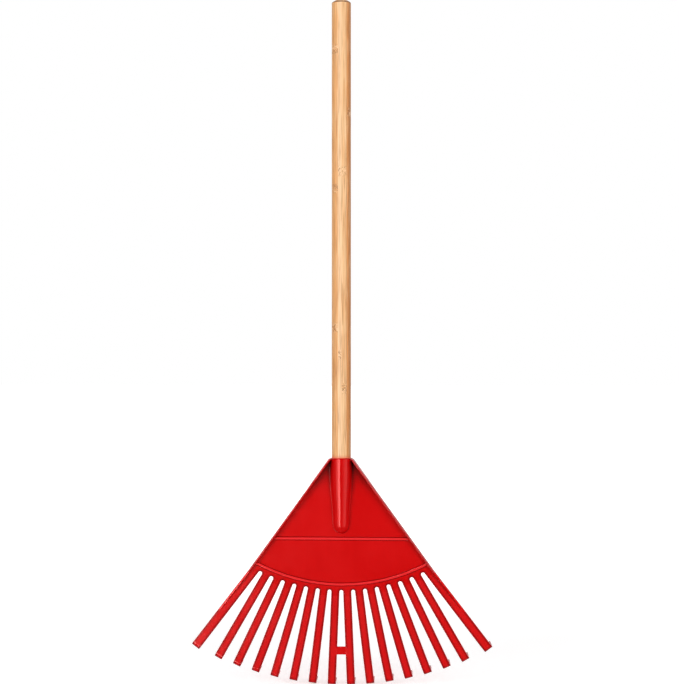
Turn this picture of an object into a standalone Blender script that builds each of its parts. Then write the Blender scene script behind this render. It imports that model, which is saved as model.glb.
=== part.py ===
"""Small fan leaf rake: a moulded plastic head with sprung tines on a round bamboo handle.

Units are metres. +Z runs up the handle, +X is to the right and -Y is the front of the head,
so the tine hooks point to +Y. The origin lies on the handle's axis, in the middle of the hand grip.
"""
import math
from collections import namedtuple

import bmesh
import bpy
import numpy
from mathutils import Vector

# Fits
FIT_GAP = 0.0003
FACE_STEP = 0.0005

# Handle
HANDLE_DIAMETER = 0.0195
HANDLE_SHOWN_LENGTH = 0.4676
HANDLE_CHAMFER_IN = 0.0042
HANDLE_CHAMFER_DOWN = 0.0026
GRIP_BELOW_TOP = 0.1085
TENON_STRAIGHT_LENGTH = 0.0259
TENON_NECK_DEPTH = 0.0469
TENON_NECK_DIAMETER = 0.0150
TENON_CONE_DEPTH = 0.0669
TENON_CONE_DIAMETER = 0.0128
TENON_TIP_LENGTH = 0.004
TENON_TIP_DIAMETER = 0.008

# Socket
SOCKET_WALL = 0.0020
SOCKET_FLOOR = 0.0062

# Fixing screw in the back of the socket
SCREW_BELOW_MOUTH = 0.015
SCREW_LENGTH = 0.013
SCREW_SHANK_DIAMETER = 0.0035
SCREW_POINT_LENGTH = 0.003
SCREW_HEAD_DIAMETER = 0.0070
SCREW_HEAD_HEIGHT = 0.0024
SCREW_HEAD_EDGE = 0.0010
DRIVE_SLOT_LENGTH = 0.0042
DRIVE_SLOT_WIDTH = 0.0010
DRIVE_SLOT_DEPTH = 0.0013
BOSS_MARGIN = 0.0010
BOSS_HEIGHT = 0.0012

# Plate, rims and ribs of the head
EDGE_ANGLE = math.radians(35.8)
HEAD_SHOULDER = 0.0002
PLATE_THICKNESS = 0.0028
RIM_THICKNESS = 0.0026
RIM_TOP_HEIGHT = 0.0092
RIM_ROOT_HEIGHT = 0.0034
RIM_BACK_HEIGHT = 0.0008
RIB_WIDTH = 0.0025
RIB_HEIGHT = 0.0018
CROSS_RIB_BELOW_SOCKET = 0.0050
ARC_RIB_ABOVE_SLOTS = 0.0060

# Fan of tines
INNER_TINES_PER_SIDE = 7
OUTER_FLARE_ANGLE = math.radians(1.8)
OUTER_SPACE_ANGLE = math.radians(7.4)
TINE_APEX_ABOVE_MOUTH = 0.0126
FAN_CENTRE_ABOVE_MOUTH = 0.0589
SLOT_TOP_RADIUS = 0.194
TINE_ROOT_LENGTH = 0.006
TINE_LENGTH = 0.097
TIP_CIRCLE_RADIUS = 0.322
TINE_WIDTH = 0.0084
OUTER_TINE_WIDTH = 0.0095
TINE_THICKNESS = 0.0028
HOOK_DEPTH = 0.021
HOOK_RISE_ANGLE = math.radians(5.0)
HOOK_INNER_RADIUS = 0.0017
OUTER_RIM_LENGTH = 0.060
CENTRE_BAR_ABOVE_TIP = 0.0351
CENTRE_BAR_HEIGHT = 0.0082

# Facets
ROUND_STEPS = 32
SMALL_ROUND_STEPS = 20
SLOT_STEPS = 8
BEND_STEPS = 5
RIB_ARC_STEPS = 24

# Finishes: colour, roughness, metallic
RED_PLASTIC = ((0.62, 0.012, 0.012, 1.0), 0.38, 0.0)
BAMBOO = ((0.80, 0.52, 0.27, 1.0), 0.55, 0.0)
ZINC_STEEL = ((0.62, 0.63, 0.65, 1.0), 0.32, 1.0)

# Sizes that follow from the ones above
HANDLE_RADIUS = HANDLE_DIAMETER / 2
HANDLE_TOP_Z = GRIP_BELOW_TOP
MOUTH_Z = HANDLE_TOP_Z - HANDLE_SHOWN_LENGTH
SOCKET_MOUTH_RADIUS = HANDLE_RADIUS + FIT_GAP + SOCKET_WALL
SOCKET_END_LENGTH = TENON_TIP_LENGTH + FIT_GAP + SOCKET_FLOOR
SOCKET_LENGTH = TENON_CONE_DEPTH + SOCKET_END_LENGTH
HEAD_TOP_HALF_WIDTH = SOCKET_MOUTH_RADIUS + HEAD_SHOULDER
EDGE_APEX = Vector((0.0, MOUTH_Z + HEAD_TOP_HALF_WIDTH / math.tan(EDGE_ANGLE)))
TINE_APEX = Vector((0.0, MOUTH_Z + TINE_APEX_ABOVE_MOUTH))
FAN_CENTRE = Vector((0.0, MOUTH_Z + FAN_CENTRE_ABOVE_MOUTH))
OUTER_TINE_ANGLE = EDGE_ANGLE + OUTER_FLARE_ANGLE
TINE_PITCH = (OUTER_TINE_ANGLE - OUTER_SPACE_ANGLE) / (INNER_TINES_PER_SIDE - 0.5)
ROOT_RADIUS = SLOT_TOP_RADIUS + TINE_ROOT_LENGTH
TIP_CENTRE = FAN_CENTRE - Vector((0.0, SLOT_TOP_RADIUS + TINE_LENGTH - TIP_CIRCLE_RADIUS))
ARC_RIB_RADIUS = SLOT_TOP_RADIUS - ARC_RIB_ABOVE_SLOTS
CROSS_RIB_Z = MOUTH_Z - SOCKET_LENGTH - CROSS_RIB_BELOW_SOCKET
PLATE_FRONT_Y = -PLATE_THICKNESS / 2
PLATE_BACK_Y = PLATE_THICKNESS / 2
HINGE_BELOW_ROOT = FIT_GAP + TINE_THICKNESS / 2
HOOK_BEND_RADIUS = HOOK_INNER_RADIUS + TINE_THICKNESS
SCREW_Z = MOUTH_Z - SCREW_BELOW_MOUTH

# Turns a form made about +Z so that its top faces the back of the head
TURN_TO_BACK = (-math.pi / 2, 0, 0)

# A tine lies along a straight line in the plane of the plate: base and angle give its middle line,
# root and tip are distances along that line.
Tine = namedtuple("Tine", "name angle base half_width root tip")


def along(angle):
    """Unit vector down a tine, in x and z, at this angle from straight down."""
    return Vector((math.sin(angle), -math.cos(angle)))


def across(angle):
    """Unit vector across a tine, in x and z, towards its right edge."""
    return Vector((math.cos(angle), math.sin(angle)))


def distance_to_arc(base, angle, centre, radius):
    """How far a line runs from its base to the circle of this centre and radius."""
    offset = base - centre
    half_slope = offset.dot(along(angle))
    return -half_slope + math.sqrt(half_slope ** 2 - offset.length_squared + radius ** 2)


def distance_to_height(base, angle, height):
    """How far a line runs from its base down to this height."""
    return (base.y - height) / math.cos(angle)


def make_tine(name, angle, base, width):
    """A tine whose root lies on the circle below the slots and whose tip lies on the flatter tip circle."""
    root = distance_to_arc(base, angle, FAN_CENTRE, ROOT_RADIUS)
    tip = distance_to_arc(base, angle, TIP_CENTRE, TIP_CIRCLE_RADIUS)
    return Tine(name, angle, base, width / 2, root, tip)


def fan_of_tines():
    """All the tines, in order from left to right as seen from the front."""
    right = []
    for number in range(1, INNER_TINES_PER_SIDE + 1):
        right.append(make_tine(f"tine_right_{number}", (number - 0.5) * TINE_PITCH, TINE_APEX, TINE_WIDTH))
    edge_run = distance_to_arc(EDGE_APEX, EDGE_ANGLE, FAN_CENTRE, ROOT_RADIUS)
    edge_end = EDGE_APEX + along(EDGE_ANGLE) * edge_run
    outer_base = edge_end - across(OUTER_TINE_ANGLE) * OUTER_TINE_WIDTH / 2
    right.append(make_tine("outer_tine_right", OUTER_TINE_ANGLE, outer_base, OUTER_TINE_WIDTH))
    left = []
    for tine in reversed(right):
        base = Vector((-tine.base.x, tine.base.y))
        left.append(tine._replace(name=tine.name.replace("right", "left"), angle=-tine.angle, base=base))
    return left + right


def slot_end(left, right):
    """Centre and radius of the round top of the slot between two neighbouring tines.

    The circle touches the facing edges of both tines, and its top lies on the slot circle. Touching
    both edges puts the centre at start + radius * step, which leaves a quadratic for the radius.
    """
    edges = numpy.array([across(left.angle), -across(right.angle)])
    left_offset = left.base.dot(across(left.angle)) + left.half_width
    right_offset = -right.base.dot(across(right.angle)) + right.half_width
    start = Vector(numpy.linalg.solve(edges, numpy.array([left_offset, right_offset])))
    step = Vector(numpy.linalg.solve(edges, numpy.array([1.0, 1.0])))
    offset = start - FAN_CENTRE
    square = step.length_squared - 1.0
    half = offset.dot(step) - SLOT_TOP_RADIUS
    rest = offset.length_squared - SLOT_TOP_RADIUS ** 2
    radius = (-half + math.sqrt(half ** 2 - square * rest)) / square
    return start + step * radius, radius


def slot_outline(left, right):
    """Points over the top of a slot, from the left tine's edge to the right tine's edge."""
    centre, radius = slot_end(left, right)
    first = left.angle + math.pi
    last = right.angle
    points = []
    for step in range(SLOT_STEPS + 1):
        turn = first + (last - first) * step / SLOT_STEPS
        points.append(centre + Vector((math.cos(turn), math.sin(turn))) * radius)
    return points


def plate_outline(tines):
    """The flat plate with its slots and tine roots. Its long sides end inside the rims."""
    inset = RIM_THICKNESS / 2
    top = MOUTH_Z - 2 * FACE_STEP
    base = EDGE_APEX - across(EDGE_ANGLE) * inset
    corner = base + along(EDGE_ANGLE) * distance_to_height(base, EDGE_ANGLE, top)
    points = [Vector((-corner.x, top))]
    last = len(tines) - 1
    for index, tine in enumerate(tines):
        end = tine.base + along(tine.angle) * tine.root
        left_edge = tine.half_width - (inset if index == 0 else 0.0)
        right_edge = tine.half_width - (inset if index == last else 0.0)
        points.append(end - across(tine.angle) * left_edge)
        points.append(end + across(tine.angle) * right_edge)
        if index < last:
            points.extend(slot_outline(tine, tines[index + 1]))
    points.append(Vector((corner.x, top)))
    return points


def prism(outline, back, fronts):
    """A closed solid from an outline in x and z: flat at the back, with a front depth for each point."""
    form = bmesh.new()
    behind = [form.verts.new((point.x, back, point.y)) for point in outline]
    ahead = [form.verts.new((point.x, front, point.y)) for point, front in zip(outline, fronts)]
    form.faces.new(behind)
    form.faces.new(list(reversed(ahead)))
    for index in range(len(outline)):
        after = (index + 1) % len(outline)
        form.faces.new((behind[index], ahead[index], ahead[after], behind[after]))
    bmesh.ops.recalc_face_normals(form, faces=form.faces)
    return form


def flat_prism(outline, back, front):
    """A prism with the same depth all over."""
    return prism(outline, back, [front] * len(outline))


def turned(profile, steps):
    """A solid of revolution about +Z from (radius, height) points that start and end on the axis."""
    form = bmesh.new()
    line = [form.verts.new((radius, 0.0, height)) for radius, height in profile]
    edges = [form.edges.new(pair) for pair in zip(line, line[1:])]
    bmesh.ops.spin(form, geom=line + edges, cent=(0, 0, 0), axis=(0, 0, 1), angle=math.tau, steps=steps,
                   use_merge=True, use_duplicate=False)
    bmesh.ops.remove_doubles(form, verts=form.verts, dist=FIT_GAP / 100)
    bmesh.ops.recalc_face_normals(form, faces=form.faces)
    return form


def block(low, high):
    """A box between two corners."""
    outline = [Vector((low[0], low[2])), Vector((high[0], low[2])),
               Vector((high[0], high[2])), Vector((low[0], high[2]))]
    return flat_prism(outline, high[1], low[1])


def finish_material(name, finish):
    """A Principled material with this colour, roughness and metallic value."""
    colour, roughness, metallic = finish
    material = bpy.data.materials.new(name)
    material.use_nodes = True
    shader = material.node_tree.nodes["Principled BSDF"]
    shader.inputs["Base Color"].default_value = colour
    shader.inputs["Roughness"].default_value = roughness
    shader.inputs["Metallic"].default_value = metallic
    return material


def add_object(name, form, finish=None, location=(0, 0, 0), rotation=(0, 0, 0)):
    """Put a form into the scene. Without a finish it is a helper for a boolean."""
    mesh = bpy.data.meshes.new(name)
    form.to_mesh(mesh)
    form.free()
    mesh.shade_smooth()
    mesh.set_sharp_from_angle(angle=math.radians(30))
    item = bpy.data.objects.new(name, mesh)
    item.location = location
    item.rotation_euler = rotation
    bpy.context.collection.objects.link(item)
    if finish is None:
        item.hide_render = True
        item.display_type = 'WIRE'
    else:
        mesh.materials.append(finish_material(name, finish))
    return item


def combine(item, helper, operation):
    """Join a helper to an item, or cut it away."""
    modifier = item.modifiers.new(helper.name, 'BOOLEAN')
    modifier.operation = operation
    modifier.solver = 'EXACT'
    modifier.object = helper


def tenon_sides(margin):
    """Points (radius, height) down the tenon's stepped taper, this margin larger all round."""
    return [
        (HANDLE_RADIUS + margin, MOUTH_Z - TENON_STRAIGHT_LENGTH),
        (TENON_NECK_DIAMETER / 2 + margin, MOUTH_Z - TENON_NECK_DEPTH),
        (TENON_CONE_DIAMETER / 2 + margin, MOUTH_Z - TENON_CONE_DEPTH),
    ]


def quarter_round(centre, reach, drop, start, steps):
    """Points (radius, height) on a quarter ellipse, from the given start angle clockwise."""
    points = []
    for step in range(steps + 1):
        turn = start - math.pi / 2 * step / steps
        points.append((centre[0] + reach * math.cos(turn), centre[1] + drop * math.sin(turn)))
    return points


def make_handle():
    """Bamboo dowel with a chamfered top end and a tapered tenon, drilled for the fixing screw."""
    profile = [
        (0.0, HANDLE_TOP_Z),
        (HANDLE_RADIUS - HANDLE_CHAMFER_IN, HANDLE_TOP_Z),
        (HANDLE_RADIUS, HANDLE_TOP_Z - HANDLE_CHAMFER_DOWN),
    ]
    profile += tenon_sides(0.0)
    profile += [
        (TENON_TIP_DIAMETER / 2, MOUTH_Z - TENON_CONE_DEPTH - TENON_TIP_LENGTH),
        (0.0, MOUTH_Z - TENON_CONE_DEPTH - TENON_TIP_LENGTH),
    ]
    handle = add_object("handle", turned(profile, ROUND_STEPS), BAMBOO)
    pilot_radius = SCREW_SHANK_DIAMETER / 2 + FIT_GAP
    pilot_depth = SCREW_LENGTH + FIT_GAP
    pilot = turned([(0, 0), (pilot_radius, 0), (pilot_radius, -pilot_depth), (0, -pilot_depth)],
                   SMALL_ROUND_STEPS)
    helper = add_object("pilot_hole", pilot, None, (0, screw_seat(), SCREW_Z), TURN_TO_BACK)
    combine(handle, helper, 'DIFFERENCE')


def screw_seat():
    """Where the underside of the screw's head lies, just behind the boss on the socket's back."""
    return SOCKET_MOUTH_RADIUS + BOSS_HEIGHT + FIT_GAP


def make_fixing_screw():
    """Self-tapping screw with a domed head and a cross drive, pointing forward into the tenon."""
    head_radius = SCREW_HEAD_DIAMETER / 2
    shank_radius = SCREW_SHANK_DIAMETER / 2
    dome = SCREW_HEAD_HEIGHT - SCREW_HEAD_EDGE
    profile = [(0.0, SCREW_HEAD_HEIGHT)]
    profile += quarter_round((0.0, SCREW_HEAD_EDGE), head_radius, dome, math.pi / 2, BEND_STEPS)[1:]
    profile += [
        (head_radius, 0.0),
        (shank_radius, 0.0),
        (shank_radius, SCREW_POINT_LENGTH - SCREW_LENGTH),
        (0.0, -SCREW_LENGTH),
    ]
    place = (0, screw_seat(), SCREW_Z)
    screw = add_object("fixing_screw", turned(profile, SMALL_ROUND_STEPS), ZINC_STEEL, place, TURN_TO_BACK)
    long_half = DRIVE_SLOT_LENGTH / 2
    wide_half = DRIVE_SLOT_WIDTH / 2
    floor = SCREW_HEAD_HEIGHT - DRIVE_SLOT_DEPTH
    for reach_x, reach_y in ((long_half, wide_half), (wide_half, long_half)):
        slot = block((-reach_x, -reach_y, floor), (reach_x, reach_y, 2 * SCREW_HEAD_HEIGHT))
        combine(screw, add_object("drive_slot", slot, None, place, TURN_TO_BACK), 'DIFFERENCE')


def socket_shell():
    """Outside of the socket: it follows the tenon and has a closed, rounded lower end."""
    sides = tenon_sides(FIT_GAP + SOCKET_WALL)
    end_radius, end_top = sides[-1]
    profile = [(0.0, MOUTH_Z), (SOCKET_MOUTH_RADIUS, MOUTH_Z)]
    profile += sides[:-1]
    profile += quarter_round((0.0, end_top), end_radius, SOCKET_END_LENGTH, 0.0, BEND_STEPS)
    return turned(profile, ROUND_STEPS)


def socket_bore():
    """Inside of the socket: the tenon's shape with the fit gap all round, open at the mouth."""
    above = MOUTH_Z + HANDLE_RADIUS
    tip_z = MOUTH_Z - TENON_CONE_DEPTH - TENON_TIP_LENGTH - FIT_GAP
    profile = [(0.0, above), (HANDLE_RADIUS + FIT_GAP, above)]
    profile += tenon_sides(FIT_GAP)
    profile += [(TENON_TIP_DIAMETER / 2 + FIT_GAP, tip_z), (0.0, tip_z)]
    return turned(profile, ROUND_STEPS)


def head_rim(outer):
    """Upright wall along the right edge of the plate, tall beside the socket and low at the tine root."""
    top = MOUTH_Z - FACE_STEP
    root_corner = outer.base + along(outer.angle) * outer.root + across(outer.angle) * outer.half_width
    end = (root_corner - EDGE_APEX).dot(along(EDGE_ANGLE)) - FACE_STEP
    inner_base = EDGE_APEX - across(EDGE_ANGLE) * RIM_THICKNESS
    start = distance_to_height(EDGE_APEX, EDGE_ANGLE, top)
    corners = [
        (EDGE_APEX, start),
        (EDGE_APEX, end),
        (inner_base, end),
        (inner_base, distance_to_height(inner_base, EDGE_ANGLE, top)),
    ]
    outline = [base + along(EDGE_ANGLE) * run for base, run in corners]
    fall = (RIM_TOP_HEIGHT - RIM_ROOT_HEIGHT) / (end - start)
    fronts = [PLATE_FRONT_Y - RIM_TOP_HEIGHT + fall * (run - start) for base, run in corners]
    return prism(outline, PLATE_BACK_Y + RIM_BACK_HEIGHT, fronts)


def mirror_form(form):
    """The same form on the left side."""
    bmesh.ops.scale(form, vec=(-1, 1, 1), verts=form.verts)
    bmesh.ops.recalc_face_normals(form, faces=form.faces)
    return form


def rib_front():
    """Depth of the face of the low ribs on the plate."""
    return PLATE_FRONT_Y - RIB_HEIGHT


def cross_rib():
    """Straight low rib across the plate below the socket, from rim to rim."""
    base = EDGE_APEX - across(EDGE_ANGLE) * RIM_THICKNESS / 2
    reach = (base + along(EDGE_ANGLE) * distance_to_height(base, EDGE_ANGLE, CROSS_RIB_Z)).x
    half = RIB_WIDTH / 2
    return block((-reach, rib_front(), CROSS_RIB_Z - half), (reach, 0.0, CROSS_RIB_Z + half))


def arc_rib():
    """Low rib that follows the slot tops, from rim to rim."""
    base = EDGE_APEX - across(EDGE_ANGLE) * RIM_THICKNESS / 2
    end = base + along(EDGE_ANGLE) * distance_to_arc(base, EDGE_ANGLE, FAN_CENTRE, ARC_RIB_RADIUS)
    reach = math.atan2(end.x, FAN_CENTRE.y - end.y)
    turns = [reach * (2 * step / RIB_ARC_STEPS - 1) for step in range(RIB_ARC_STEPS + 1)]
    outer = [FAN_CENTRE + along(turn) * (ARC_RIB_RADIUS + RIB_WIDTH / 2) for turn in turns]
    inner = [FAN_CENTRE + along(turn) * (ARC_RIB_RADIUS - RIB_WIDTH / 2) for turn in reversed(turns)]
    return flat_prism(outer + inner, 0.0, rib_front())


def screw_boss():
    """Round flat pad on the back of the socket, under the screw's head."""
    radius = SCREW_HEAD_DIAMETER / 2 + BOSS_MARGIN
    depth = screw_seat() - FIT_GAP
    return turned([(0, 0), (radius, 0), (radius, -depth / 2), (0, -depth / 2)], SMALL_ROUND_STEPS)


def make_head(tines):
    """Plate with its rims, ribs and socket, in one moulding."""
    plate = flat_prism(plate_outline(tines), PLATE_BACK_Y, PLATE_FRONT_Y)
    head = add_object("rake_head", plate, RED_PLASTIC)
    outer = tines[-1]
    boss_place = (0, screw_seat() - FIT_GAP, SCREW_Z)
    joined = [
        add_object("socket_shell", socket_shell()),
        add_object("rim_right", head_rim(outer)),
        add_object("rim_left", mirror_form(head_rim(outer))),
        add_object("cross_rib", cross_rib()),
        add_object("arc_rib", arc_rib()),
        add_object("screw_boss", screw_boss(), None, boss_place, TURN_TO_BACK),
    ]
    for helper in joined:
        combine(head, helper, 'UNION')
    combine(head, add_object("socket_bore", socket_bore()), 'DIFFERENCE')
    hole_radius = SCREW_SHANK_DIAMETER / 2 + FIT_GAP
    hole = turned([(0, SCREW_HEAD_HEIGHT), (hole_radius, SCREW_HEAD_HEIGHT),
                   (hole_radius, -SCREW_LENGTH), (0, -SCREW_LENGTH)], SMALL_ROUND_STEPS)
    combine(head, add_object("screw_hole", hole, None, boss_place, TURN_TO_BACK), 'DIFFERENCE')


def hinge_point(tine):
    """The point on a tine's middle line that it bends about, just below its root on the plate."""
    return tine.base + along(tine.angle) * (tine.root + HINGE_BELOW_ROOT)


def tine_form(tine):
    """A flat strip with a rounded root and a hooked tip, hanging down from its bending axis at z = 0."""
    half = TINE_THICKNESS / 2
    length = tine.tip - tine.root - HINGE_BELOW_ROOT
    bend_centre = Vector((HOOK_BEND_RADIUS - half, HOOK_BEND_RADIUS - length))
    half_turn = [math.pi * step / (2 * BEND_STEPS) for step in range(2 * BEND_STEPS + 1)]
    side = [Vector((half * math.cos(turn), half * math.sin(turn))) for turn in half_turn]
    bend = [math.pi / 2 * step / BEND_STEPS for step in range(BEND_STEPS + 1)]
    bend.append(math.pi / 2 + HOOK_RISE_ANGLE)
    spokes = [Vector((-math.cos(turn), -math.sin(turn))) for turn in bend]
    reach = HOOK_DEPTH - HOOK_BEND_RADIUS * (1 + math.sin(HOOK_RISE_ANGLE))
    leg = Vector((reach, reach * math.tan(HOOK_RISE_ANGLE)))
    side += [bend_centre + spoke * HOOK_BEND_RADIUS for spoke in spokes]
    side += [bend_centre + spokes[-1] * radius + leg for radius in (HOOK_BEND_RADIUS, HOOK_INNER_RADIUS)]
    side += [bend_centre + spoke * HOOK_INNER_RADIUS for spoke in reversed(spokes)]
    form = bmesh.new()
    face = form.faces.new([form.verts.new((-tine.half_width, point.x, point.y)) for point in side])
    swept = bmesh.ops.extrude_face_region(form, geom=[face])
    moved = [item for item in swept["geom"] if isinstance(item, bmesh.types.BMVert)]
    bmesh.ops.translate(form, vec=(2 * tine.half_width, 0, 0), verts=moved)
    bmesh.ops.recalc_face_normals(form, faces=form.faces)
    return form


def add_tine(tine, finish):
    """One tine, with its origin on its bending axis."""
    point = hinge_point(tine)
    return add_object(tine.name, tine_form(tine), finish, (point.x, 0, point.y), (0, -tine.angle, 0))


def make_outer_tine(tine):
    """An outermost tine: a wider strip with a low rim that carries on the wall of the plate's edge."""
    item = add_tine(tine, RED_PLASTIC)
    side = math.copysign(1.0, tine.angle)
    rim = bmesh.new()
    for setback in (FACE_STEP, RIM_THICKNESS):
        x = side * (tine.half_width - setback)
        rim.verts.new((x, 0.0, 0.0))
        rim.verts.new((x, -TINE_THICKNESS / 2 - RIM_ROOT_HEIGHT, 0.0))
        rim.verts.new((x, 0.0, -OUTER_RIM_LENGTH))
        rim.verts.new((x, -TINE_THICKNESS / 2, -OUTER_RIM_LENGTH))
    bmesh.ops.convex_hull(rim, input=rim.verts)
    bmesh.ops.recalc_face_normals(rim, faces=rim.faces)
    helper = add_object(tine.name + "_rim", rim, None, item.location, item.rotation_euler)
    combine(item, helper, 'UNION')


def make_centre_pair(left, right):
    """The two middle tines and the short bar that ties them together, bending as one piece."""
    hinge_z = hinge_point(right).y
    bar_z = right.base.y - right.tip * math.cos(right.angle) + CENTRE_BAR_ABOVE_TIP
    reach = distance_to_height(right.base, right.angle, bar_z) * math.sin(right.angle)
    low_z = bar_z - CENTRE_BAR_HEIGHT / 2 - hinge_z
    depth = TINE_THICKNESS / 2 - FACE_STEP / 2
    bar = block((-reach, -depth, low_z), (reach, depth, low_z + CENTRE_BAR_HEIGHT))
    pair = add_object("centre_tine_pair", bar, RED_PLASTIC, (0, 0, hinge_z))
    for tine in (left, right):
        combine(pair, add_tine(tine, None), 'UNION')


def main():
    for item in list(bpy.data.objects):
        bpy.data.objects.remove(item, do_unlink=True)
    tines = fan_of_tines()
    make_handle()
    make_fixing_screw()
    make_head(tines)
    middle = len(tines) // 2
    make_centre_pair(tines[middle - 1], tines[middle])
    for tine in tines[1:middle - 1] + tines[middle + 1:-1]:
        add_tine(tine, RED_PLASTIC)
    make_outer_tine(tines[0])
    make_outer_tine(tines[-1])


main()
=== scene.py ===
"""Looks of the small fan leaf rake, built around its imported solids.

Units are metres, in the frame of the part: +Z runs up the handle, +X is to the right and -Y is the
front of the head, so the tine hooks point to +Y.
"""

import math
from collections import namedtuple

import bmesh
import bpy
import numpy
from mathutils import Matrix, Vector
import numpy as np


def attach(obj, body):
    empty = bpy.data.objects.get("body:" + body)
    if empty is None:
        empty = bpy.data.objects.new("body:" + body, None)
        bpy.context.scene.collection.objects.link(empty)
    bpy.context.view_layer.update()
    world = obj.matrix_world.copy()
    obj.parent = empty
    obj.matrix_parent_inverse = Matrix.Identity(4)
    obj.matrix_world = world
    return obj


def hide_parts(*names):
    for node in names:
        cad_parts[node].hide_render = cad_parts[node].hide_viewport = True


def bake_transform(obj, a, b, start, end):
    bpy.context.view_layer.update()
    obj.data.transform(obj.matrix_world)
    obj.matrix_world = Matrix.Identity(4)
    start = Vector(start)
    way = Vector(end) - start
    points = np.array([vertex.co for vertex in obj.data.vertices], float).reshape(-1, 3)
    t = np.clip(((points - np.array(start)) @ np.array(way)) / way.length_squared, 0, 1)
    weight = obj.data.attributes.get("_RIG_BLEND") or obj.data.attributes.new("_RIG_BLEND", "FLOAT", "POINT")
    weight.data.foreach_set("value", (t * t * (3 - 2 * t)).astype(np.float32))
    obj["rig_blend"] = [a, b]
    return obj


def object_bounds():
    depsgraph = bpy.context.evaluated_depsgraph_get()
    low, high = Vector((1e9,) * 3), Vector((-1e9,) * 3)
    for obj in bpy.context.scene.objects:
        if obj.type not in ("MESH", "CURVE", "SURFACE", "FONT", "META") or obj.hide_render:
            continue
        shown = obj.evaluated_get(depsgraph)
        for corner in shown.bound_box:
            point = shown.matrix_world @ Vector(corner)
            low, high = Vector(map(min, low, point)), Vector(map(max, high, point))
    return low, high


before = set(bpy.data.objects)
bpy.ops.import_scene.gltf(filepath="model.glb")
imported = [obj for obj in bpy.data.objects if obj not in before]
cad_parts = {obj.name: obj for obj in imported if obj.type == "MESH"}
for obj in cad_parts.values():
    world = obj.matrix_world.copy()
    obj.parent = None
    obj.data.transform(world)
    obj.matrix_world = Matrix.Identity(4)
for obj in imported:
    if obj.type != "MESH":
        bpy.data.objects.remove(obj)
cad_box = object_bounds()

# Fits
FIT_GAP = 0.0003

# Handle
HANDLE_DIAMETER = 0.0195
HANDLE_SHOWN_LENGTH = 0.4676
HANDLE_CHAMFER_IN = 0.0042
HANDLE_CHAMFER_DOWN = 0.0026
HANDLE_CHAMFER_SOFT = 0.0009
GRIP_BELOW_TOP = 0.1085
TENON_STRAIGHT_LENGTH = 0.0259
TENON_NECK_DEPTH = 0.0469
TENON_NECK_DIAMETER = 0.0150
TENON_CONE_DEPTH = 0.0669
TENON_CONE_DIAMETER = 0.0128
TENON_TIP_LENGTH = 0.004
TENON_TIP_DIAMETER = 0.008

# Socket
SOCKET_WALL = 0.0020
SOCKET_FLOOR = 0.0062
MOUTH_ROUND = 0.0012
LIP_SHADE = 0.5
BORE_LEAD_IN = 0.0006

# Fixing screw in the back of the socket
SCREW_BELOW_MOUTH = 0.015
SCREW_LENGTH = 0.013
SCREW_SHANK_DIAMETER = 0.0035
SCREW_HEAD_DIAMETER = 0.0070
SCREW_HEAD_HEIGHT = 0.0024
SCREW_HEAD_EDGE = 0.0010
DRIVE_SLOT_LENGTH = 0.0042
DRIVE_SLOT_WIDTH = 0.0010
DRIVE_SLOT_DEPTH = 0.0013
DRIVE_SLOT_FLOOR_SHARE = 0.7
DRIVE_SLOT_TOP_SHARE = 1.35
BOSS_MARGIN = 0.0010
BOSS_HEIGHT = 0.0012
BOSS_ROUND = 0.0004

# Plate, rims and ribs of the head
EDGE_ANGLE = math.radians(35.8)
HEAD_SHOULDER = 0.0002
PLATE_BELOW_MOUTH = 0.0010
PLATE_THICKNESS = 0.0028
EDGE_ROUND = 0.0006
EDGE_BAND = 0.0028
RIM_BELOW_MOUTH = 0.0005
RIM_THICKNESS = 0.0026
RIM_SETBACK = 0.00015
RIM_ROUND = 0.0011
RIM_SHADE = 0.55
RIM_TOP_HEIGHT = 0.0092
RIM_ROOT_HEIGHT = 0.0034
RIM_BACK_HEIGHT = 0.0008
RIB_WIDTH = 0.0025
RIB_HEIGHT = 0.0018
RIB_ROUND = 0.0008
RIB_FOOT = 0.0010
RIB_FOOT_SUNK = 0.00004
RIB_FOOT_SHADE = 0.8
CROSS_RIB_BELOW_SOCKET = 0.0050
ARC_RIB_ABOVE_SLOTS = 0.0060

# Fan of tines
INNER_TINES_PER_SIDE = 7
OUTER_FLARE_ANGLE = math.radians(1.8)
OUTER_SPACE_ANGLE = math.radians(7.4)
TINE_APEX_ABOVE_MOUTH = 0.0126
FAN_CENTRE_ABOVE_MOUTH = 0.0589
SLOT_TOP_RADIUS = 0.194
TINE_ROOT_LENGTH = 0.006
TINE_LENGTH = 0.097
TIP_CIRCLE_RADIUS = 0.322
TINE_WIDTH = 0.0084
OUTER_TINE_WIDTH = 0.0095
TINE_THICKNESS = 0.0028
HOOK_DEPTH = 0.021
HOOK_RISE_ANGLE = math.radians(5.0)
HOOK_INNER_RADIUS = 0.0017
# Painted highlight over the whole face of a tine
TINE_CREST = 0.20
BEND_SHADE = 0.8
BEND_SHADE_POWER = 3
OUTER_RIM_LENGTH = 0.060
OUTER_RIM_ROUND_SHARE = 0.6
CENTRE_BAR_ABOVE_TIP = 0.0351
CENTRE_BAR_HEIGHT = 0.0082
CENTRE_BAR_SETBACK = 0.00025
FLEX_LENGTH = 0.055

# Steps of the meshes, and the limits for welding, for parallel edges and for sharp corners
CORNER_STEPS = 5
SLOT_STEPS = 24
BEND_STEPS = 10
HOOK_LEG_STEPS = 4
RIM_STEPS = 16
OUTER_RIM_STEPS = 20
LATHE_STEPS = 96
SMALL_LATHE_STEPS = 48
RIB_STEPS = 72
STRAIGHT_RING_GAP = 0.003
CORNER_CUT = 0.25
CORNER_CUT_ROUNDS = 3
WELD_DISTANCE = 1e-7
PARALLEL_LIMIT = 1e-4
SHARP_ANGLE = math.radians(35)

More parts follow.
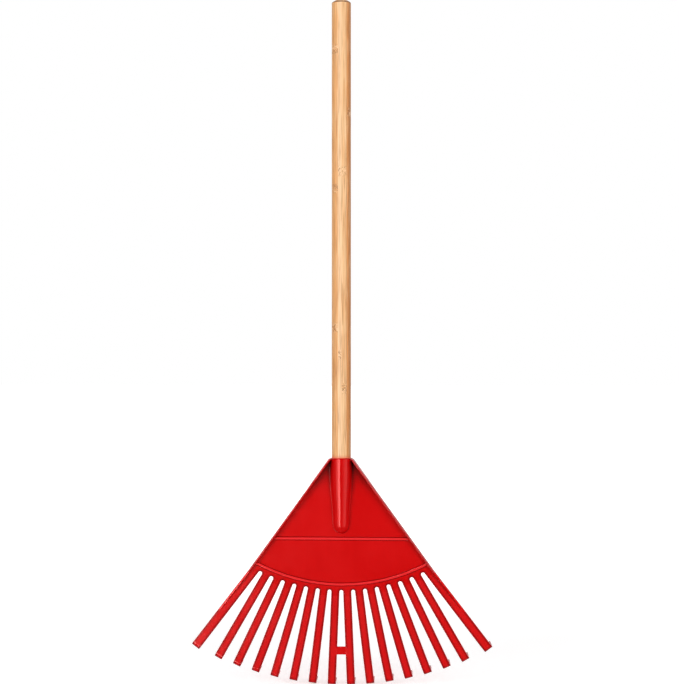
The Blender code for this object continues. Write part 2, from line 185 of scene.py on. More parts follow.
# Camera, from the photograph
CAMERA_AZIMUTH = math.radians(3.28)
CAMERA_DISTANCE = 1.76
CAMERA_AIM = Vector((-0.0019, 0.0, -0.2407))
FOCAL_PIXELS = 1722.0
IMAGE_HEIGHT_PIXELS = 684
SENSOR_SIZE = 36.0

# Noise limits between which a material goes from one tone or roughness to the other
NOISE_RANGE = (0.3, 0.7)
NARROW_NOISE_RANGE = (0.35, 0.65)

# A soft band is full over one of so many parts of its reach, and fades over the rest
SOFT_BAND_PARTS = 3

# Red plastic: linear colours, among them painted shade, painted highlight and painted glint colours,
# scales in waves per metre, and how open a corner is where its painted crease shade starts and where it is
# full
PLASTIC_RED = (0.66, 0.0014, 0.0020, 1.0)
PLASTIC_DEEP = (0.62, 0.0010, 0.0015, 1.0)
PLASTIC_PAINTED_SHADE = (0.24, 0.0008, 0.0010, 1.0)
PLASTIC_PAINTED_HIGHLIGHT = (0.86, 0.024, 0.027, 1.0)
PLASTIC_PAINTED_GLINT = (0.52, 0.080, 0.090, 1.0)
PLASTIC_CREASE_SHADE = (0.09, 0.0004, 0.0004, 1.0)
CREASE_REACH = 0.020
CREASE_OPENNESS = (1.0, 0.2)
CREASE_SAMPLES = 8
CREASE_BELOW_LIP = 0.0045
CREASE_FADE_START = 0.020
CREASE_FADE_END = 0.042
CREASE_LOW_SHARE = 0.3
PLASTIC_ROUGHNESS = (0.11, 0.16)
PLASTIC_SPECULAR = 0.35
PLASTIC_SPECULAR_TINT = (1.0, 0.34, 0.32, 1.0)
PLASTIC_DRIFT_SCALE = 26.0
PLASTIC_STREAK_SCALE = 160.0
PLASTIC_STREAK_STRETCH = 0.12
PLASTIC_STREAK_BEND = 0.6
PLASTIC_STREAK_SHARE = 0.2
PLASTIC_SKIN_SCALE = 2600.0
PLASTIC_SKIN_DEPTH = 0.000005
PLASTIC_WAVE_SCALE = 70.0
PLASTIC_WAVE_DEPTH = 0.00002

# Laminated bamboo: glue lines across X, and for each strip the height of one node and the nodes' pitch
GLUE_LINES = (-0.0029, 0.0009, 0.0058, 0.0076)
GLUE_LINE_WIDTH = 0.0006
STRIP_WANDER = 0.0009
STRIP_WANDER_SCALE = 14.0
STRIP_WANDER_STRETCH = 0.1
STRIP_COLOURS = (
    (0.84, 0.42, 0.165, 1.0),
    (0.90, 0.56, 0.30, 1.0),
    (0.90, 0.53, 0.255, 1.0),
    (0.83, 0.345, 0.115, 1.0),
    # The last, darker strip, beyond the last glue line on the right side, is painted shade on that side of
    # the handle
    (0.60, 0.250, 0.085, 1.0),
)
STRIP_NODES = ((0.057, 0.1415), (-0.067, 0.1875), (-0.067, 0.221), (-0.007, 0.400), (-0.007, 0.400))
NODE_HALF_HEIGHT = 0.0065
NODE_CORE_SHARE = 0.3
NODE_FLECK_SCALE = 520.0
NODE_FLECK_STRETCH = 0.6
NODE_FLECK_BEND = 1.2
NODE_DARK = (0.40, 0.150, 0.045, 1.0)
NODE_DARK_RANGE = (0.50, 0.60)
NODE_DARK_SHARE = 0.8
NODE_PALE = (1.0, 0.68, 0.40, 1.0)
NODE_PALE_RANGE = (0.48, 0.38)
NODE_PALE_SHARE = 0.7
NODE_DEPTH = 0.00004
NODE_WAVE = 0.008
NODE_WAVE_SCALE = 140.0
STREAK_SCALE = 800.0
STREAK_STRETCH = 0.035
STREAK_DARK = (0.60, 0.250, 0.075, 1.0)
STREAK_DARK_RANGE = (0.50, 0.30)
STREAK_PALE = (1.0, 0.70, 0.41, 1.0)
STREAK_PALE_RANGE = (0.50, 0.70)
STREAK_SHARE = 0.55
FIBRE_SCALE = 1900.0
FIBRE_STRETCH = 0.016
FIBRE_TONES = (0.88, 1.08)
FIBRE_DEPTH = 0.00002
VESSEL_SCALE = 1300.0
VESSEL_STRETCH = 0.022
VESSEL_DARK = (0.46, 0.170, 0.050, 1.0)
VESSEL_RANGE = (0.60, 0.68)
VESSEL_SHARE = 0.55
CORNER_DARK = (0.20, 0.072, 0.022, 1.0)
CORNER_SHARE = 0.9
CORNER_HALF_HEIGHT = 0.0010
# Painted shadow and red light from the socket on the wood just above the mouth
MOUTH_LINE_HEIGHT = 0.0010
MOUTH_LINE = (0.92, 0.130, 0.068, 1.0)
MOUTH_GLOW_HEIGHT = 0.0045
MOUTH_GLOW = (0.86, 0.20, 0.090, 1.0)
MOUTH_GLOW_SHARE = 0.6
END_FACING_RANGE = (0.97, 1.0)
END_GRAIN_DARK = (0.24, 0.095, 0.030, 1.0)
END_GRAIN_PALE = (0.40, 0.18, 0.065, 1.0)
BAMBOO_ROUGHNESS = (0.42, 0.56)
BAMBOO_SPECULAR = 0.18

# Zinc plating
ZINC_DULL = (0.50, 0.51, 0.53, 1.0)
ZINC_BRIGHT = (0.76, 0.77, 0.79, 1.0)
ZINC_ROUGHNESS = (0.22, 0.42)
ZINC_CLOUD_SCALE = 900.0
ZINC_MARK_SCALE = 4000.0
ZINC_MARK_STRETCH = 0.1
ZINC_MARK_DEPTH = 0.000006

# Studio
WHITE = (1.0, 1.0, 1.0, 1.0)
FLOOR_HALF_SIZE = 12.0
FLOOR_GAP = 0.0005
FLOOR_COLOUR = (0.8, 0.8, 0.8, 1.0)
FLOOR_GLOW = 0.56
FLOOR_SHADOW_REACH = 1.2
WORLD_LEVEL = 0.30
BACKDROP_RANGE = (0.0, 0.5)

# Soft lamps that don't show in gloss: name, azimuth in degrees, radiance
SOFT_LIGHTS = (("front_left", -36.0, 8.6), ("front_right", 35.0, 7.5), ("back", 183.0, 7.0))
SOFT_DISTANCE = 2.5
SOFT_ELEVATION = 12.0
SOFT_SIZE = 1.0

# Lamps that show only in gloss: name, first and last azimuth in degrees, radiance
GLOSS_STRIPS = (
    ("strip_left_0", -13.0, -10.5, 6.0),
    ("strip_left_1", -20.0, -13.0, 19.0),
    ("strip_left_2", -28.0, -20.0, 14.0),
    ("strip_left_3", -38.0, -28.0, 7.5),
    ("strip_left_4", -52.0, -38.0, 3.0),
    ("strip_right_1", 14.0, 28.0, 0.8),
    ("strip_right_2", 28.0, 46.0, 2.4),
    ("strip_right_3", 46.0, 62.0, 2.8),
)
STRIP_DISTANCE = 8.0
STRIP_ELEVATION = 0.0
STRIP_HEIGHT = 9.4

# Sizes that follow from the ones above
HANDLE_RADIUS = HANDLE_DIAMETER / 2
HANDLE_TOP_Z = GRIP_BELOW_TOP
MOUTH_Z = HANDLE_TOP_Z - HANDLE_SHOWN_LENGTH
SOCKET_MOUTH_RADIUS = HANDLE_RADIUS + FIT_GAP + SOCKET_WALL
SOCKET_END_LENGTH = TENON_TIP_LENGTH + FIT_GAP + SOCKET_FLOOR
SOCKET_LENGTH = TENON_CONE_DEPTH + SOCKET_END_LENGTH
HEAD_TOP_HALF_WIDTH = SOCKET_MOUTH_RADIUS + HEAD_SHOULDER
EDGE_APEX = Vector((0.0, MOUTH_Z + HEAD_TOP_HALF_WIDTH / math.tan(EDGE_ANGLE)))
TINE_APEX = Vector((0.0, MOUTH_Z + TINE_APEX_ABOVE_MOUTH))
FAN_CENTRE = Vector((0.0, MOUTH_Z + FAN_CENTRE_ABOVE_MOUTH))
OUTER_TINE_ANGLE = EDGE_ANGLE + OUTER_FLARE_ANGLE
TINE_PITCH = (OUTER_TINE_ANGLE - OUTER_SPACE_ANGLE) / (INNER_TINES_PER_SIDE - 0.5)
ROOT_RADIUS = SLOT_TOP_RADIUS + TINE_ROOT_LENGTH
TIP_CENTRE = FAN_CENTRE - Vector((0.0, SLOT_TOP_RADIUS + TINE_LENGTH - TIP_CIRCLE_RADIUS))
ARC_RIB_RADIUS = SLOT_TOP_RADIUS - ARC_RIB_ABOVE_SLOTS
CROSS_RIB_Z = MOUTH_Z - SOCKET_LENGTH - CROSS_RIB_BELOW_SOCKET
HALF_PLATE = PLATE_THICKNESS / 2
SMALLEST_EDGE_ROUND = EDGE_ROUND / 20
HOOK_BEND_RADIUS = HOOK_INNER_RADIUS + TINE_THICKNESS
SCREW_Z = MOUTH_Z - SCREW_BELOW_MOUTH
SCREW_SEAT_Y = SOCKET_MOUTH_RADIUS + BOSS_HEIGHT + FIT_GAP
RIM_TOP_Z = MOUTH_Z - RIM_BELOW_MOUTH
PLATE_TOP_Z = MOUTH_Z - PLATE_BELOW_MOUTH

# Shares kept on the points of the plastic: painted shade in its edge bands, painted highlight on its
# crests and round edges, and a painted glint on its rims' outer edges
SHARES = ("edge", "crest", "rub")
Spot = namedtuple("Spot", ("place",) + SHARES, defaults=(0.0,) * len(SHARES))

# Turns a form made about +Z so that its top faces the back of the head
TURN_TO_BACK = Matrix.Rotation(-math.pi / 2, 4, 'X')

# A tine lies along a straight line in the plane of the plate: base and angle give its middle line,
# root and tip are distances along that line.
Tine = namedtuple("Tine", "name angle base half_width root tip")

# A point of a rib's section: how far it lies from the rib's middle line, its depth and its shares
RibPoint = namedtuple("RibPoint", "away depth edge crest")


# Fan geometry, as in the solids

def along(angle):
    """Unit vector down a tine, in x and z, at this angle from straight down."""
    return Vector((math.sin(angle), -math.cos(angle)))


def across(angle):
    """Unit vector across a tine, in x and z, towards its right edge."""
    return Vector((math.cos(angle), math.sin(angle)))


def distance_to_arc(base, angle, centre, radius):
    """How far a line runs from its base to the circle of this centre and radius."""
    offset = base - centre
    half_slope = offset.dot(along(angle))
    return -half_slope + math.sqrt(half_slope ** 2 - offset.length_squared + radius ** 2)


def distance_to_height(base, angle, height):
    """How far a line runs from its base down to this height."""
    return (base.y - height) / math.cos(angle)


def root_middle(tine):
    """Where a tine leaves the plate, on its middle line."""
    return tine.base + along(tine.angle) * tine.root


def make_tine(name, angle, base, width):
    """A tine whose root lies on the circle below the slots and whose tip lies on the flatter tip circle."""
    root = distance_to_arc(base, angle, FAN_CENTRE, ROOT_RADIUS)
    tip = distance_to_arc(base, angle, TIP_CENTRE, TIP_CIRCLE_RADIUS)
    return Tine(name, angle, base, width / 2, root, tip)


def fan_of_tines():
    """All the tines, in order from left to right as seen from the front."""
    right = []
    for number in range(1, INNER_TINES_PER_SIDE + 1):
        right.append(make_tine(f"tine_right_{number}", (number - 0.5) * TINE_PITCH, TINE_APEX, TINE_WIDTH))
    edge_run = distance_to_arc(EDGE_APEX, EDGE_ANGLE, FAN_CENTRE, ROOT_RADIUS)
    edge_end = EDGE_APEX + along(EDGE_ANGLE) * edge_run
    outer_base = edge_end - across(OUTER_TINE_ANGLE) * OUTER_TINE_WIDTH / 2
    right.append(make_tine("outer_tine_right", OUTER_TINE_ANGLE, outer_base, OUTER_TINE_WIDTH))
    left = []
    for tine in reversed(right):
        base = Vector((-tine.base.x, tine.base.y))
        left.append(tine._replace(name=tine.name.replace("right", "left"), angle=-tine.angle, base=base))
    return left + right


def slot_end(left, right):
    """Centre and radius of the round top of a slot: it touches both tines and the slot circle."""
    edges = numpy.array([across(left.angle), -across(right.angle)])
    left_offset = left.base.dot(across(left.angle)) + left.half_width
    right_offset = -right.base.dot(across(right.angle)) + right.half_width
    start = Vector(numpy.linalg.solve(edges, numpy.array([left_offset, right_offset])))
    step = Vector(numpy.linalg.solve(edges, numpy.array([1.0, 1.0])))
    offset = start - FAN_CENTRE
    square = step.length_squared - 1.0
    half = offset.dot(step) - SLOT_TOP_RADIUS
    rest = offset.length_squared - SLOT_TOP_RADIUS ** 2
    radius = (-half + math.sqrt(half ** 2 - square * rest)) / square
    return start + step * radius, radius


def slot_outline(left, right):
    """Points over the top of a slot, from the left tine's edge to the right tine's edge."""
    centre, radius = slot_end(left, right)
    first = left.angle + math.pi
    last = right.angle
    points = []
    for step in range(SLOT_STEPS + 1):
        turn = first + (last - first) * step / SLOT_STEPS
        points.append(centre + across(turn) * radius)
    return points


# Mesh helpers

def new_form():
    """An empty form whose points carry shares between 0 and 1 for their material."""
    form = bmesh.new()
    for name in SHARES:
        form.verts.layers.float.new(name)
    return form


def add_spot(form, spot):
    """A point of a form, with its shares."""
    vertex = form.verts.new(spot.place)
    for name in SHARES:
        vertex[form.verts.layers.float[name]] = getattr(spot, name)
    return vertex


def loft(rings):
    """A closed form through rings of spots, with flat ends."""
    form = new_form()
    made = [[add_spot(form, spot) for spot in ring] for ring in rings]
    count = len(rings[0])
    for ring, following in zip(made, made[1:]):
        for index in range(count):
            after = (index + 1) % count
            form.faces.new((ring[index], ring[after], following[after], following[index]))
    form.faces.new(list(reversed(made[0])))
    form.faces.new(made[-1])
    bmesh.ops.recalc_face_normals(form, faces=form.faces)
    return form


def turned(profile, steps):
    """A form of revolution about +Z from (radius, height) points that start and end on the axis."""
    form = new_form()
    line = [form.verts.new((radius, 0.0, height)) for radius, height in profile]
    edges = [form.edges.new(pair) for pair in zip(line, line[1:])]
    bmesh.ops.spin(form, geom=line + edges, cent=(0, 0, 0), axis=(0, 0, 1), angle=math.tau, steps=steps,
                   use_merge=True, use_duplicate=False)
    bmesh.ops.remove_doubles(form, verts=form.verts, dist=WELD_DISTANCE)
    bmesh.ops.recalc_face_normals(form, faces=form.faces)
    return form


def quarter_round(centre, reach, drop, start, steps):
    """Points (radius, height) on a quarter ellipse, from the given start angle clockwise."""
    points = []
    for step in range(steps + 1):
        turn = start - math.pi / 2 * step / steps
        points.append((centre[0] + reach * math.cos(turn), centre[1] + drop * math.sin(turn)))
    return points


def corner_turns():
    """Directions out of a rectangle with round corners, in the order of its points."""
    steps = range(CORNER_STEPS + 1)
    return [math.pi / 2 * (quarter + step / CORNER_STEPS) for quarter in range(4) for step in steps]


def corner_share(part):
    """Share of a point on a round corner, from the sine or cosine of its turn: full from one half on."""
    return min(1.0, 2 * max(0.0, part))


def rounded_rectangle(low, high, radius):
    """Points around a rectangle with round corners, from two opposite corners of it."""
    centres = [
        (high[0] - radius, high[1] - radius),
        (low[0] + radius, high[1] - radius),
        (low[0] + radius, low[1] + radius),
        (high[0] - radius, low[1] + radius),
    ]
    points = []
    for index, turn in enumerate(corner_turns()):
        centre_x, centre_y = centres[index // (CORNER_STEPS + 1)]
        points.append((centre_x + radius * math.cos(turn), centre_y + radius * math.sin(turn)))
    return points


def strip_section(half_width, half_depth, inset):
    """(side, depth) points round a flat strip with round edges, with a line along each edge band."""
    low = (inset - half_width, inset - half_depth)
    high = (half_width - inset, half_depth - inset)
    points = rounded_rectangle(low, high, max(EDGE_ROUND - inset, SMALLEST_EDGE_ROUND))
    band_line = half_width - EDGE_BAND
    corner = CORNER_STEPS + 1
    back_lines = [(band_line, high[1]), (-band_line, high[1])]
    front_lines = [(-band_line, low[1]), (band_line, low[1])]
    return points[:corner] + back_lines + points[corner:3 * corner] + front_lines + points[3 * corner:]


def painted_shade_share(inset):
    """Painted shade of a point this far inside an edge: most where the round ends, none past the band."""
    if inset < EDGE_ROUND:
        return inset / EDGE_ROUND
    return max(0.0, 1.0 - (inset - EDGE_ROUND) / (EDGE_BAND - EDGE_ROUND))


def round_share(inset):
    """How far a point lies on the round of an edge: 1 at the edge itself, 0 where the round ends."""
    return max(0.0, 1.0 - inset / EDGE_ROUND)


def smoothed(profile):
    """A profile with its corners cut again and again, so that it runs in a soft curve between its ends."""
    near = 1.0 - CORNER_CUT
    far = CORNER_CUT
    for _ in range(CORNER_CUT_ROUNDS):
        softer = [profile[0]]
        for (start_x, start_y), (end_x, end_y) in zip(profile, profile[1:]):
            softer.append((near * start_x + far * end_x, near * start_y + far * end_y))
            softer.append((far * start_x + near * end_x, far * start_y + near * end_y))
        softer.append(profile[-1])
        profile = softer
    return profile


def inset_outline(points, insets):
    """An outline moved inward. Each inset is for the edge from its point to the next."""
    moved = []
    for index, point in enumerate(points):
        come = (point - points[index - 1]).normalized()
        leave = (points[(index + 1) % len(points)] - point).normalized()
        first = Vector((-come.y, come.x))
        second = Vector((-leave.y, leave.x))
        first_inset = insets[index - 1]
        second_inset = insets[index]
        turn = first.x * second.y - first.y * second.x
        if abs(turn) < PARALLEL_LIMIT:
            moved.append(point + first * first_inset)
        else:
            shift_x = (first_inset * second.y - second_inset * first.y) / turn
            shift_y = (second_inset * first.x - first_inset * second.x) / turn
            moved.append(point + Vector((shift_x, shift_y)))
    return moved


def round_edge_levels(half_thickness, radius):
    """(inset, depth) of the rings of a slab with round edges, from its front face to its back face."""
    levels = []
    for step in range(CORNER_STEPS + 1):
        turn = math.pi / 2 * step / CORNER_STEPS
        levels.append((radius * (1 - math.sin(turn)), -half_thickness + radius * (1 - math.cos(turn))))
    return levels + [(inset, -depth) for inset, depth in reversed(levels)]


def add_to_scene(name, data):
    """A new object in the scene, of this mesh, lamp or camera."""
    item = bpy.data.objects.new(name, data)
    bpy.context.scene.collection.objects.link(item)
    return item


def new_object(name, form):
    """Put a form into the scene."""
    mesh = bpy.data.meshes.new(name)
    form.to_mesh(mesh)
    form.free()
    return add_to_scene(name, mesh)


def combine(item, form, operation):
    """Join a form to an object, or cut it away."""
    helper = new_object(item.name + "_helper", form)
    modifier = item.modifiers.new("combine", 'BOOLEAN')
    modifier.operation = operation
    modifier.solver = 'EXACT'
    modifier.object = helper
    graph = bpy.context.evaluated_depsgraph_get()
    result = bpy.data.meshes.new_from_object(item.evaluated_get(graph))
    item.modifiers.clear()
    item.data = result
    bpy.data.objects.remove(helper, do_unlink=True)


def shares_by_place(form):
    """The shares of a form's points, found by where the points are."""
    layers = [form.verts.layers.float[name] for name in SHARES]
    return {tuple(vertex.co): [vertex[layer] for layer in layers] for vertex in form.verts}


def joined(name, forms, cuts=()):
    """One piece of forms joined together, less the cuts. Its points keep the shares they were made with."""
    shares = {}
    for form in forms:
        shares.update(shares_by_place(form))
    item = new_object(name, forms[0])
    for form in forms[1:]:
        combine(item, form, 'UNION')
    for form in cuts:
        combine(item, form, 'DIFFERENCE')
    for index, share_name in enumerate(SHARES):
        values = []
        for vertex in item.data.vertices:
            place = tuple(vertex.co)
            values.append(shares[place][index] if place in shares else 0.0)
        item.data.attributes[share_name].data.foreach_set("value", values)
    return item


def soften(item):
    """Shade an object smooth, with large faces kept flat and true corners kept sharp."""
    item.data.shade_smooth()
    item.data.set_sharp_from_angle(angle=SHARP_ANGLE)
    modifier = item.modifiers.new("even_faces", 'WEIGHTED_NORMAL')
    modifier.mode = 'FACE_AREA'
    modifier.keep_sharp = True


def finish_piece(item, node_names, material):
    """Shading and material of a piece that stands for these nodes, whose imported parts are hidden."""
    soften(item)
    item.data.materials.clear()
    item.data.materials.append(material)
    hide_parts(*node_names)


# Head

def tenon_sides(margin):
    """Points (radius, height) down the tenon's stepped taper, this margin larger all round."""
    return [
        (HANDLE_RADIUS + margin, MOUTH_Z - TENON_STRAIGHT_LENGTH),
        (TENON_NECK_DIAMETER / 2 + margin, MOUTH_Z - TENON_NECK_DEPTH),
        (TENON_CONE_DIAMETER / 2 + margin, MOUTH_Z - TENON_CONE_DEPTH),
    ]


def plate_form(tines):
    """The flat plate with its slots and tine roots. Its edges are round, except where a tine goes on."""
    corner = EDGE_APEX + along(EDGE_ANGLE) * distance_to_height(EDGE_APEX, EDGE_ANGLE, PLATE_TOP_Z)
    points = [Vector((-corner.x, PLATE_TOP_Z))]
    rounds = [1.0]
    for index, tine in enumerate(tines):
        half_root = across(tine.angle) * tine.half_width
        points += [root_middle(tine) - half_root, root_middle(tine) + half_root]
        rounds += [0.0, 1.0]
        if index < len(tines) - 1:
            points += slot_outline(tine, tines[index + 1])
            rounds += [1.0] * (SLOT_STEPS + 1)
    points.append(Vector((corner.x, PLATE_TOP_Z)))
    rounds.append(1.0)
    rings = []
    levels = round_edge_levels(HALF_PLATE, EDGE_ROUND)
    for inset, depth in [(EDGE_BAND, -HALF_PLATE)] + levels + [(EDGE_BAND, HALF_PLATE)]:
        outline = inset_outline(points, [inset * share for share in rounds])
        # Painted shade in the band inside each edge, and painted highlight on the round edges
        shares = (painted_shade_share(inset), round_share(inset))
        rings.append([Spot((point.x, depth, point.y), *shares) for point in outline])
    return loft(rings)


def rim_form(outer):
    """Upright wall along the right edge of the plate, tall beside the socket and low at the tine root."""
    root_corner = root_middle(outer) + across(outer.angle) * outer.half_width
    end = (root_corner - EDGE_APEX).dot(along(EDGE_ANGLE))
    rings = []
    for step in range(RIM_STEPS + 1):
        share = step / RIM_STEPS
        front = -HALF_PLATE - RIM_TOP_HEIGHT + (RIM_TOP_HEIGHT - RIM_ROOT_HEIGHT) * share
        back = (HALF_PLATE + RIM_BACK_HEIGHT) * (1.0 - share)
        section = rounded_rectangle((RIM_SETBACK, front), (RIM_THICKNESS, back), RIM_ROUND)
        ring = []
        for (setback, depth), turn in zip(section, corner_turns()):
            base = EDGE_APEX - across(EDGE_ANGLE) * setback
            top_run = distance_to_height(base, EDGE_ANGLE, RIM_TOP_Z)
            point = base + along(EDGE_ANGLE) * (top_run + (end - top_run) * share)
            # Painted shade on the front of the rim, and a painted glint on the round of its outer front edge
            to_front = max(0.0, -math.sin(turn))
            rub = 2 * to_front * max(0.0, -math.cos(turn))
            ring.append(Spot((point.x, depth, point.y), edge=RIM_SHADE * to_front, rub=rub))
        rings.append(ring)
    return loft(rings)


def mirrored(form):
    """The same form on the left side."""
    bmesh.ops.scale(form, vec=(-1, 1, 1), verts=form.verts)
    bmesh.ops.recalc_face_normals(form, faces=form.faces)
    return form


def rib_section():
    """Points round a low rib sunk into the plate, with painted shade at each foot and a painted highlight on
    its crest.
    """
    half = RIB_WIDTH / 2
    fillet_depth = RIB_FOOT_SUNK - HALF_PLATE - RIB_FOOT
    crest_depth = RIB_ROUND - HALF_PLATE - RIB_HEIGHT
    turns = [math.pi / 2 * step / CORNER_STEPS for step in range(CORNER_STEPS + 1)]
    right = [RibPoint(half + RIB_FOOT, HALF_PLATE / 2, RIB_FOOT_SHADE, 0.0)]
    for turn in turns:
        away = half + RIB_FOOT * (1 - math.sin(turn))
        right.append(RibPoint(away, fillet_depth + RIB_FOOT * math.cos(turn), RIB_FOOT_SHADE, 0.0))
    for turn in turns:
        away = half - RIB_ROUND * (1 - math.cos(turn))
        depth = crest_depth - RIB_ROUND * math.sin(turn)
        right.append(RibPoint(away, depth, 0.0, corner_share(math.sin(turn))))
    return right + [point._replace(away=-point.away) for point in reversed(right)]


def cross_rib_form():
    """Straight low rib across the plate below the socket, from rim to rim."""
    base = EDGE_APEX - across(EDGE_ANGLE) * RIM_THICKNESS / 2
    reach = (base + along(EDGE_ANGLE) * distance_to_height(base, EDGE_ANGLE, CROSS_RIB_Z)).x
    rings = []
    for step in range(RIB_STEPS + 1):
        x = reach * (2 * step / RIB_STEPS - 1)
        ring = []
        for point in rib_section():
            ring.append(Spot((x, point.depth, CROSS_RIB_Z + point.away), point.edge, point.crest))
        rings.append(ring)
    return loft(rings)


def arc_rib_form():
    """Low rib that follows the slot tops, from rim to rim."""
    base = EDGE_APEX - across(EDGE_ANGLE) * RIM_THICKNESS / 2
    end = base + along(EDGE_ANGLE) * distance_to_arc(base, EDGE_ANGLE, FAN_CENTRE, ARC_RIB_RADIUS)
    reach = math.atan2(end.x, FAN_CENTRE.y - end.y)
    rings = []
    for step in range(RIB_STEPS + 1):
        turn = reach * (2 * step / RIB_STEPS - 1)
        ring = []
        for point in rib_section():
            place = FAN_CENTRE + along(turn) * (ARC_RIB_RADIUS + point.away)
            ring.append(Spot((place.x, point.depth, place.y), point.edge, point.crest))
        rings.append(ring)
    return loft(rings)


def socket_form():
    """Outside of the socket: a soft taper with a round mouth edge and a closed, rounded lower end."""
    margin = FIT_GAP + SOCKET_WALL
    sides = [(SOCKET_MOUTH_RADIUS, MOUTH_Z - MOUTH_ROUND)] + tenon_sides(margin)
    end_radius, end_top = sides[-1]
    mouth_centre = (SOCKET_MOUTH_RADIUS - MOUTH_ROUND, MOUTH_Z - MOUTH_ROUND)
    profile = [(0.0, MOUTH_Z)]
    profile += quarter_round(mouth_centre, MOUTH_ROUND, MOUTH_ROUND, math.pi / 2, CORNER_STEPS)[:-1]
    profile += smoothed(sides)[:-1]
    profile += quarter_round((0.0, end_top), end_radius, SOCKET_END_LENGTH, 0.0, BEND_STEPS)
    form = turned(profile, LATHE_STEPS)
    # Painted shade on the round of the mouth edge
    edge = form.verts.layers.float["edge"]
    for vertex in form.verts:
        vertex[edge] = LIP_SHADE * max(0.0, 1.0 - (MOUTH_Z - vertex.co.z) / MOUTH_ROUND)
    return form


def bore_form():
    """Inside of the socket, open at the mouth with a small lead-in."""
    above = MOUTH_Z + HANDLE_RADIUS
    tip_z = MOUTH_Z - TENON_CONE_DEPTH - TENON_TIP_LENGTH - FIT_GAP
    bore = HANDLE_RADIUS + FIT_GAP
    profile = [
        (0.0, above),
        (bore + BORE_LEAD_IN, above),
        (bore + BORE_LEAD_IN, MOUTH_Z),
        (bore, MOUTH_Z - BORE_LEAD_IN),
    ]
    profile += tenon_sides(FIT_GAP)
    profile += [(TENON_TIP_DIAMETER / 2 + FIT_GAP, tip_z), (0.0, tip_z)]
    return turned(profile, LATHE_STEPS)


def placed(form, matrix):
    """A form moved by a matrix."""
    bmesh.ops.transform(form, matrix=matrix, verts=form.verts)
    return form


def to_back(form, depth):
    """A form made about +Z, turned to the back of the head at the screw's height, this deep."""
    return placed(form, Matrix.Translation((0, depth, SCREW_Z)) @ TURN_TO_BACK)


def boss_form():
    """Round flat pad on the back of the socket, under the screw's head."""
    radius = SCREW_HEAD_DIAMETER / 2 + BOSS_MARGIN
    depth = SCREW_SEAT_Y - FIT_GAP
    centre = (radius - BOSS_ROUND, -BOSS_ROUND)
    profile = [(0.0, 0.0)]
    profile += quarter_round(centre, BOSS_ROUND, BOSS_ROUND, math.pi / 2, CORNER_STEPS)
    profile += [(radius, -depth / 2), (0.0, -depth / 2)]
    return to_back(turned(profile, SMALL_LATHE_STEPS), depth)


def screw_hole_form():
    """Clearance for the screw through the boss and the socket's back wall."""
    radius = SCREW_SHANK_DIAMETER / 2 + FIT_GAP
    profile = [
        (0.0, SCREW_HEAD_HEIGHT),
        (radius, SCREW_HEAD_HEIGHT),
        (radius, -SCREW_LENGTH),
        (0.0, -SCREW_LENGTH),
    ]
    return to_back(turned(profile, SMALL_LATHE_STEPS), SCREW_SEAT_Y - FIT_GAP)


def make_head(tines, material):
    """Plate with its rims, ribs and socket, in one moulding."""
    outer = tines[-1]
    rims = [rim_form(outer), mirrored(rim_form(outer))]
    ribs = [cross_rib_form(), arc_rib_form()]
    forms = [plate_form(tines)] + rims + ribs + [socket_form(), boss_form()]
    head = joined("head_moulding", forms, [bore_form(), screw_hole_form()])
    finish_piece(head, ["rake_head"], material)
    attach(head, "rake")


# Tines

def tine_stations(tine):
    """(run, leg, turn, inset) of the rings of a tine, from its root to the end of its hook.

    The run goes straight down the tine, the turn round the bend and the leg along the hook.
    """
    length = tine.tip - tine.root
    straight = length - HOOK_BEND_RADIUS
    count = round(straight / STRAIGHT_RING_GAP)
    stations = [(straight * step / count, 0.0, 0.0, 0.0) for step in range(count + 1)]
    for step in range(1, BEND_STEPS + 1):
        stations.append((straight, 0.0, math.pi / 2 * step / BEND_STEPS, 0.0))
    full_turn = math.pi / 2 + HOOK_RISE_ANGLE
    reach = (HOOK_DEPTH - HOOK_BEND_RADIUS * (1 + math.sin(HOOK_RISE_ANGLE))) / math.cos(HOOK_RISE_ANGLE)
    for step in range(HOOK_LEG_STEPS + 1):
        stations.append((straight, (reach - EDGE_ROUND) * step / HOOK_LEG_STEPS, full_turn, 0.0))
    for step in range(1, CORNER_STEPS + 1):
        turn = math.pi / 2 * step / CORNER_STEPS
        leg = reach - EDGE_ROUND * (1 - math.sin(turn))
        stations.append((straight, leg, full_turn, EDGE_ROUND * (1 - math.cos(turn))))
    return stations


def tine_form(tine, tie_height=None):
    """A flat strip with round edges and a hooked tip, from its root on the plate.

    Where a bar ties it to the tine beside it, at the tie height, its inner edge has no painted shade band
    and no painted highlight on its round.
    """
    half = TINE_THICKNESS / 2
    bend_depth = HOOK_BEND_RADIUS - half
    start = root_middle(tine)
    rings = []
    for run, leg, turn, inset in tine_stations(tine):
        section = strip_section(tine.half_width, half, inset)
        # Painted shade on the bend of the hook and the start of its leg
        bend = max(0.0, math.sin(turn)) ** BEND_SHADE_POWER
        bend_shade = BEND_SHADE * bend * max(0.0, 1.0 - leg / HOOK_BEND_RADIUS)
        ring = []
        for side, depth in section:
            radius = bend_depth - depth
            down = run + radius * math.sin(turn) + leg * math.cos(turn)
            back = bend_depth - radius * math.cos(turn) + leg * math.sin(turn)
            point = start + along(tine.angle) * down + across(tine.angle) * side
            inner = side * tine.angle < 0
            tied = inner and tie_height is not None and abs(point.y - tie_height) < CENTRE_BAR_HEIGHT / 2
            from_edge = tine.half_width - abs(side)
            # Painted shade in a band along each edge, painted highlight on the rounds and, more faintly, all
            # over
            edge = 0.0 if tied else max(painted_shade_share(from_edge), bend_shade)
            crest = TINE_CREST if tied else max(TINE_CREST, round_share(from_edge))
            ring.append(Spot((point.x, back, point.y), edge, crest))
        rings.append(ring)
    return loft(rings)


